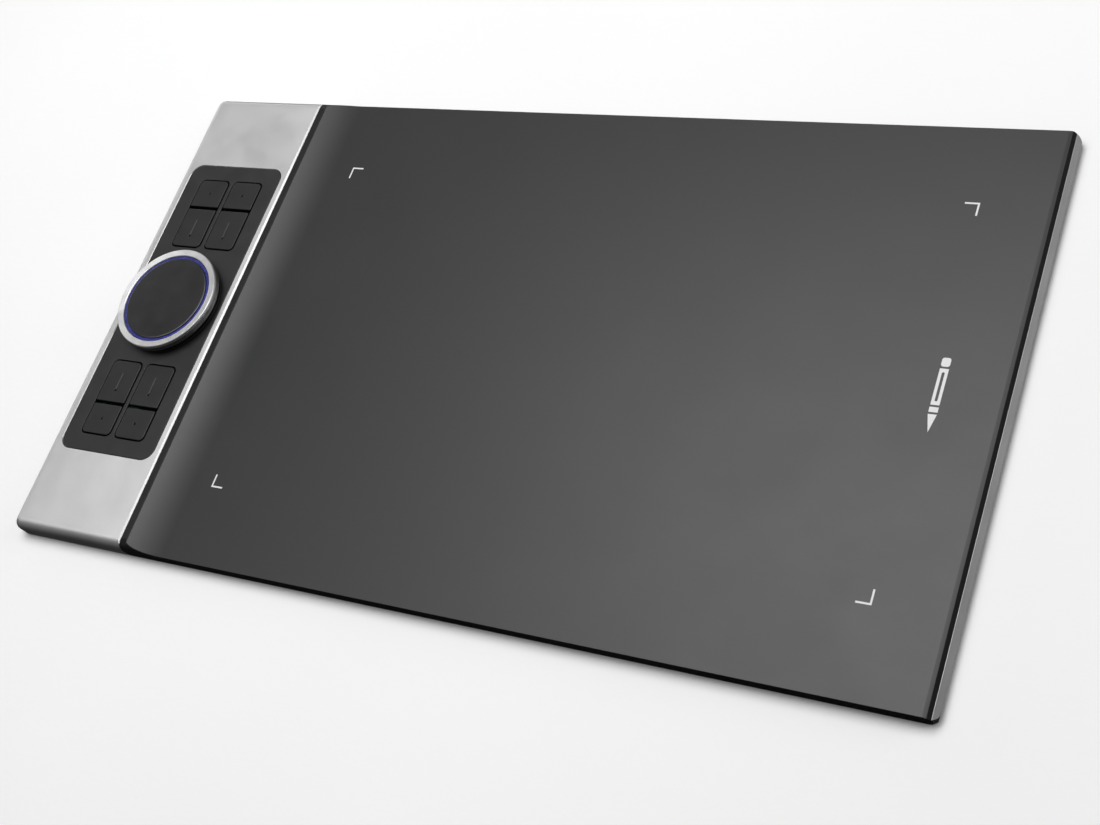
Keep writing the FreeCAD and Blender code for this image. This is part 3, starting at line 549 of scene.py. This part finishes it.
def make_strip_cover():
    bm = bmesh.new()
    heights = [strip.z0, strip.z1 - EDGE_ROLL]
    heights += [strip.z1 - EDGE_ROLL + EDGE_ROLL * math.sin(math.radians(a)) for a in range(6, 90, 6)]
    heights = sorted(heights + [strip.z1 - SIDE_CHAMFER, strip.z1])
    outside = [cover_ring(z, 0, EDGE_ROLL, EDGE_ROLL, SIDE_CHAMFER) for z in heights]
    inner_roll = EDGE_ROLL - COVER_WALL
    inner_top = strip.z1 - COVER_SKIN
    inside = []
    for z in (strip.z0, strip.z1 - EDGE_ROLL, inner_top):
        inside.append(cover_ring(z, COVER_WALL, inner_roll, inner_roll, 0))
    rings = [[bm.verts.new(p) for p in ring] for ring in reversed(inside)]
    rings += [[bm.verts.new(p) for p in ring] for ring in outside]
    ring_faces(bm, rings, close_ends=False)
    opening = []
    for grow in (OPENING_GAP, OPENING_GAP, OPENING_GAP + CUT_CHAMFER):
        opening.append(rounded_rectangle(bezel.x0 - grow, bezel.x1 + grow, bezel.y0 - grow, bezel.y1 + grow,
                                         (BEZEL_CORNER + grow - OPENING_GAP,) * 4, 10))
    levels = (inner_top, strip.z1 - CUT_CHAMFER, strip.z1)
    hole = [[bm.verts.new((x, y, z)) for x, y in outline] for outline, z in zip(opening, levels)]
    ring_faces(bm, hole, close_ends=False)
    bm.edges.ensure_lookup_table()
    for outer, inner in ((rings[-1], hole[-1]), (rings[0], hole[0])):
        loop = set(outer) | set(inner)
        edges = [e for e in bm.edges if e.verts[0] in loop and e.verts[1] in loop]
        bmesh.ops.triangle_fill(bm, edges=edges, use_beauty=True)
    bmesh.ops.remove_doubles(bm, verts=bm.verts, dist=2e-6)
    socket = node_box("usb_socket_shell")
    half_height = socket.z - socket.z0 + SOCKET_GAP
    mouth = rounded_rectangle(socket.y0 - SOCKET_GAP, socket.y1 + SOCKET_GAP, socket.z - half_height,
                              socket.z + half_height, (half_height - 0.01 * MM,) * 4, 12)
    walls = [[(x, y, z) for y, z in mouth] for x in (strip.x0 - MM, strip.x0 + COVER_WALL + MM)]
    bm = cut_by(bm, lofted(walls))
    bmesh.ops.recalc_face_normals(bm, faces=bm.faces)
    for face in bm.faces:
        middle = face.calc_center_median()
        tilted = 0.5 < face.normal.z < 0.9
        by_side = middle.x > strip.x1 - SIDE_CHAMFER
        by_hole = bezel.x0 - MM < middle.x < bezel.x1 + MM and bezel.y0 - MM < middle.y < bezel.y1 + MM
        if tilted and (by_side or by_hole):
            face.material_index = 1
    return finish_piece("strip_cover_skin", bm, "tablet", [cover_metal, bright_cut],
                        ["strip_cover"])


# ---- working panel -------------------------------------------------------------------
def edge_reach(z):
    """How far the long edges stand from the middle line at height z."""
    up = max(0.0, z - (strip.z1 - EDGE_ROLL))
    return strip.y1 - EDGE_ROLL + math.sqrt(EDGE_ROLL ** 2 - up ** 2)


def rolled_section(x, low, high, soft):
    """Cross-section of the panel at x between two heights, with rounded top corners."""
    steps = 5
    side = []
    for step in range(steps + 1):
        z = low + (high - low) * step / steps
        side.append((edge_reach(z), z, soft if step == steps else 0))
    outline = [(-y, z, r) for y, z, r in side] + [(y, z, r) for y, z, r in reversed(side)]
    return [(x, y, z) for y, z in fillet(outline, 3)]


def ramp_height(x):
    along = max(0.0, ramp_start - x)
    return panel_top + ramp_radius - math.sqrt(ramp_radius ** 2 - along ** 2)


def ramp_stations(first):
    steps = 28
    return [first + (ramp_start - first) * step / steps for step in range(steps + 1)]


def make_film():
    soft = 0.1 * MM
    start = ramp_height(film.x0)
    stations = [(film.x0, start - soft), (film.x0 + 0.3 * soft, start - 0.3 * soft)]
    stations += [(x, ramp_height(x)) for x in ramp_stations(film.x0 + soft)]
    stations += [(x, panel_top) for x in (-0.06, 0.0, 0.06, 0.12)]
    stations += [(film.x1 - BEVEL_RUN, panel_top), (film.x1 - BEVEL_RUN * 0.8, panel_top - BEVEL_DROP * 0.1)]
    stations += [(film.x1 - soft, panel_top - BEVEL_DROP), (film.x1, panel_top - BEVEL_DROP - soft * 0.4)]
    sections = []
    for x, top in stations:
        low = ramp_height(x) - film_thickness
        sections.append(rolled_section(x, low, top, min(soft, (top - low) * 0.8)))
    bm = lofted(sections)
    return finish_piece("drawing_film", bm, "tablet", [film_coat], ["surface_film"], sharp=60)


def make_ramp_lip():
    soft = 0.2 * MM
    top = lip.z1
    shoulder = film.x0 - 0.05 * MM
    stations = []
    for share in (0.0, 0.3, 0.7, 1.0):
        angle = share * math.pi / 2
        stations.append((lip.x0 + soft * (1 - math.cos(angle)), top - soft * (1 - math.sin(angle))))
    for share in (1.0, 0.7, 0.3, 0.0):
        angle = share * math.pi / 2
        stations.append((shoulder - soft * (1 - math.cos(angle)), top - soft * (1 - math.sin(angle))))
    under = 0.02 * MM
    stations += [(x, ramp_height(x) - film_thickness - under) for x in ramp_stations(shoulder)]
    bm = lofted([rolled_section(x, lip.z0, z, soft) for x, z in stations])
    return finish_piece("ramp_lip", bm, "tablet", [lip_coat], ["ramp_rail"], sharp=50)


# ---- keys and their bezel ------------------------------------------------------------
key_places = [f"{side}_{kind}_{column}" for side in ("back", "front") for kind in ("long", "short")
              for column in ("left", "right")]
key_caps = {place: box_above("key_" + place, strip.z1 - KEY_SKIN) for place in key_places}


def make_key(place):
    """Key cap with a round dimple whose floor is painted near-black as shade. The long ones also have a
    raised line that leads to it, painted lighter as a highlight.
    """
    cap = key_caps[place]
    long_key = "long" in place
    outer_is_high = place.startswith("back") != long_key
    big, small = KEY_CORNER, KEY_INNER_CORNER
    radii = (small, small, big, big) if outer_is_high else (big, big, small, small)
    face_z = cap.z1 - RIDGE_HEIGHT * long_key
    dimple_y = cap.y - (RIDGE_HALF_LENGTH + DIMPLE_RADIUS / 2) * long_key
    outline = rounded_rectangle(cap.x0, cap.x1, cap.y0, cap.y1, radii)
    dimple = circle(cap.x, dimple_y, DIMPLE_RADIUS - KEY_EDGE * 0.8, 32)
    skin = plate([outline, dimple], face_z - KEY_SKIN, face_z, KEY_EDGE)
    inset = 0.08 * MM
    core_outline = rounded_rectangle(cap.x0 + inset, cap.x1 - inset, cap.y0 + inset, cap.y1 - inset, radii)
    core = plate([core_outline], node_box("dome_" + place).z1 + 0.02 * MM, face_z - DIMPLE_DEPTH, 0.1 * MM)
    # The core's top is the dimple's floor; its near-black finish is painted shade.
    for face in core.faces:
        face.material_index = 1
    parts = [skin, core]
    if long_key:
        ridge = rounded_rectangle(cap.x - RIDGE_HALF_WIDTH, cap.x + RIDGE_HALF_WIDTH,
                                  cap.y - RIDGE_HALF_LENGTH, cap.y + RIDGE_HALF_LENGTH,
                                  (RIDGE_HALF_WIDTH * 0.95,) * 4)
        raised_line = plate([ridge], face_z - 0.25 * MM, cap.z1, 0.12 * MM)
        # The raised line takes the lighter finish, a painted highlight.
        for face in raised_line.faces:
            face.material_index = 2
        parts.append(raised_line)
    return finish_piece("key_cap_" + place, joined(parts), "key_" + place,
                        [key_coat, key_recess, key_ridge], ["key_" + place])


def make_bezel():
    outlines = [rounded_rectangle(bezel.x0, bezel.x1, bezel.y0, bezel.y1, (BEZEL_CORNER,) * 4, 10)]
    gap = KEY_CLEARANCE
    for side in ("back", "front"):
        for column in ("left", "right"):
            a, b = (key_caps[f"{side}_{kind}_{column}"] for kind in ("long", "short"))
            low, high = min(a.y0, b.y0) - gap, max(a.y1, b.y1) + gap
            outlines.append(rounded_rectangle(a.x0 - gap, a.x1 + gap, low, high, (KEY_CORNER + gap,) * 4))
    outlines.append(circle(knob.x, knob.y, SLEEVE_HOLE))
    bm = plate(outlines, bezel.z1 - BEZEL_THICKNESS, bezel.z1, 0.18 * MM)
    return finish_piece("bezel_plate", bm, "tablet", [bezel_coat], ["control_bezel"])


# ---- dial ----------------------------------------------------------------------------
def turned_piece(name, node, corners, finish, body="tablet", steps=4):
    """Piece turned round the dial's axis from (radius, height, rounding) corners."""
    return finish_piece(name, lathe(fillet(corners, steps), knob.x, knob.y), body, [finish], [node])


def make_knob():
    rim = knob.x1 - knob.x
    grip_bottom = lowest_near("dial_knob", rim, 0.5 * MM)
    skirt = rim - SKIRT_INSET
    skirt_inner = skirt - SKIRT_WALL
    skirt_bottom = lowest_near("dial_knob", skirt, 0.1 * MM)
    web = knob.z1 - WEB_DROP
    web_bottom = web - WEB_THICKNESS
    bore = bore_radius("dial_trim_ring") + WELL_SHOULDER
    profile = fillet([(bore, knob.z1, 0), (rim, knob.z1, 0.35 * MM), (rim, grip_bottom, 0.4 * MM),
                      (skirt, grip_bottom, 0.2 * MM), (skirt, skirt_bottom, 0.15 * MM),
                      (skirt_inner, skirt_bottom, 0.15 * MM), (skirt_inner, web_bottom, 0),
                      (knob_sleeve, web_bottom, 0), (knob_sleeve, web, 0), (bore, web, 0)], 4)

    def groove(angle, radius):
        turn = angle / (2 * math.pi) * GRIP_GROOVES
        off = (turn - round(turn)) / GROOVE_HALF
        on_grip = 1.0 if radius > rim - 0.02 * MM else 0.0
        return GROOVE_DEPTH * max(0.0, 1 - off * off) * on_grip

    bm = lathe(profile, knob.x, knob.y, GRIP_GROOVES * 8, groove)
    return finish_piece("dial_grip", bm, "dial", [knob_metal], ["dial_knob"])


def make_trim():
    """Bright ring whose top face falls a little towards the middle."""
    outer = trim.x1 - trim.x
    inner = bore_radius("dial_trim_ring")
    low, high = trim.z0, trim.z1
    inner_top = high - TRIM_DISH
    corners = [(inner, low, 0.05 * MM), (outer - TRIM_EDGE, low, 0.08 * MM),
               (outer, low + TRIM_EDGE, 0.1 * MM), (outer, high - TRIM_EDGE, 0.1 * MM),
               (outer - TRIM_EDGE, high, 0.1 * MM), (inner + TRIM_EDGE, inner_top, 0.12 * MM),
               (inner, inner_top - TRIM_EDGE, 0.12 * MM)]
    return turned_piece("dial_trim", "dial_trim_ring", corners, trim_metal, "dial")


def make_light_guide():
    outer = glow.x1 - glow.x
    inner = disc.x1 - disc.x + GUIDE_GAP
    corners = [(inner, glow.z0, 0.05 * MM), (outer, glow.z0, 0.05 * MM), (outer, glow.z1, 0.3 * MM),
               (inner, glow.z1, 0.12 * MM)]
    return turned_piece("dial_light_guide", "dial_light_ring", corners, guide)


def make_touch_pad():
    outer = disc.x1 - disc.x
    rim = outer - PAD_RIM
    steps = 20
    shares = [step / steps for step in range(steps)]
    bowl = [(rim * share, disc.z1 - PAD_DISH * (1 - share ** 2), 0) for share in shares]
    edge = [(rim, disc.z1, 0.3 * MM), (outer, disc.z1 - 0.08 * MM, 0.08 * MM), (outer, disc.z0, 0.1 * MM),
            (0, disc.z0, 0)]
    return turned_piece("dial_touch_pad", "dial_touch_disc", bowl + edge, disc_coat)


def make_base():
    outer = skirt_ring.x1 - skirt_ring.x
    inner = bore_radius("dial_base_ring")
    corners = [(inner, skirt_ring.z0, 0), (outer, skirt_ring.z0, 0), (outer, skirt_ring.z1, 0.12 * MM),
               (inner, skirt_ring.z1, 0.12 * MM)]
    return turned_piece("dial_base", "dial_base_ring", corners, bezel_coat)


# ---- feet ----------------------------------------------------------------------------
def make_feet():
    feet = node_box("rubber_feet")
    pads = []
    for x in (feet.x0 + FOOT_HALF_LENGTH, feet.x, feet.x1 - FOOT_HALF_LENGTH):
        for y in (feet.y0 + FOOT_HALF_WIDTH, feet.y1 - FOOT_HALF_WIDTH):
            outline = rounded_rectangle(x - FOOT_HALF_LENGTH, x + FOOT_HALF_LENGTH, y - FOOT_HALF_WIDTH,
                                        y + FOOT_HALF_WIDTH, (FOOT_HALF_WIDTH - 0.1 * MM,) * 4, 10)
            pads.append(plate([outline], feet.z0, feet.z1, 0.3 * MM))
    return finish_piece("foot_pads", joined(pads), "tablet", [rubber], ["rubber_feet"])


make_strip_cover()
make_film()
make_ramp_lip()
make_bezel()
for place in key_places:
    make_key(place)
make_knob()
make_trim()
make_light_guide()
make_touch_pad()
make_base()
make_feet()


# ---- floor, light and camera ---------------------------------------------------------
def make_floor():
    bm = bmesh.new()
    bmesh.ops.create_grid(bm, x_segments=8, y_segments=8, size=6.0)
    mesh = bpy.data.meshes.new("floor")
    bm.to_mesh(mesh)
    bm.free()
    floor = bpy.data.objects.new("floor", mesh)
    bpy.context.scene.collection.objects.link(floor)
    f = Finish("pale_floor", specular_ior_level=0.1)
    f.colour(f.mix(f.spread(f.noise(0.4, 3), 0, 1), grey(0.90), grey(0.94)))
    f.roughness(f.spread(f.noise(0.05, 3), 0.85, 0.95))
    f.normal(f.bump(f.noise(0.004, 3), 0.1 * MM))
    mesh.materials.append(f.data)
    floor.visible_glossy = False


def softbox(name, place, aim, size, radiance):
    """Rectangular soft light. Radiance is what a mirror facing it would show."""
    width, height = size
    light = bpy.data.lights.new(name, "AREA")
    light.shape = "RECTANGLE"
    light.size, light.size_y = width, height
    light.energy = radiance * math.pi * width * height
    holder = bpy.data.objects.new(name, light)
    bpy.context.scene.collection.objects.link(holder)
    holder.location = place
    holder.rotation_euler = (Vector(aim) - Vector(place)).to_track_quat("-Z", "Y").to_euler()


def make_world():
    """Dim studio surround, brighter overhead; the camera itself sees a pale backdrop."""
    world = bpy.data.worlds.new("studio")
    bpy.context.scene.world = world
    world.use_nodes = True
    nodes, links = world.node_tree.nodes, world.node_tree.links
    place = nodes.new("ShaderNodeTexCoord")
    split = nodes.new("ShaderNodeSeparateXYZ")
    ramp = nodes.new("ShaderNodeValToRGB")
    links.new(place.outputs["Generated"], split.inputs[0])
    links.new(split.outputs["Z"], ramp.inputs["Fac"])
    stops = ramp.color_ramp.elements
    stops[0].position, stops[0].color = 0.0, grey(0.02)
    stops[1].position, stops[1].color = 1.0, grey(0.9)
    for position, value in ((0.2, 0.12), (0.5, 0.10), (0.8, 0.12)):
        stops.new(position).color = grey(value)
    surround = nodes["Background"]
    links.new(ramp.outputs["Color"], surround.inputs["Color"])
    backdrop = nodes.new("ShaderNodeBackground")
    backdrop.inputs["Color"].default_value = grey(1.0)
    ray = nodes.new("ShaderNodeLightPath")
    pick = nodes.new("ShaderNodeMixShader")
    links.new(ray.outputs["Is Camera Ray"], pick.inputs["Fac"])
    links.new(surround.outputs[0], pick.inputs[1])
    links.new(backdrop.outputs[0], pick.inputs[2])
    links.new(pick.outputs[0], nodes["World Output"].inputs["Surface"])


def make_camera():
    data = bpy.data.cameras.new("camera")
    data.lens = 54.345
    data.sensor_width = 36.0
    data.shift_x = -0.02619
    data.shift_y = -0.02062
    data.clip_start, data.clip_end = 0.01, 50.0
    camera = bpy.data.objects.new("camera", data)
    camera.location = (0.33804, -0.24908, 0.50250)
    camera.rotation_euler = Euler([math.radians(a) for a in (31.0184, 22.0956, 19.9053)])
    bpy.context.scene.collection.objects.link(camera)
    bpy.context.scene.camera = camera


make_floor()
make_world()
softbox("overhead", (-0.10, 0.30, 1.1), (0, 0, 0), (0.80, 0.70), 5.4)
softbox("front_left", (-0.75, -0.15, 1.1), (-0.1, -0.05, 0), (0.7, 0.4), 1.6)
softbox("right_side", (1.35, 0.62, 0.80), (0, 0, 0), (0.9, 1.25), 1.6)
softbox("left_side", (-1.3, 0.65, 0.24), (-0.1, 0, 0), (1.6, 0.4), 1.4)
make_camera()
bpy.context.scene.view_settings.view_transform = "Standard"
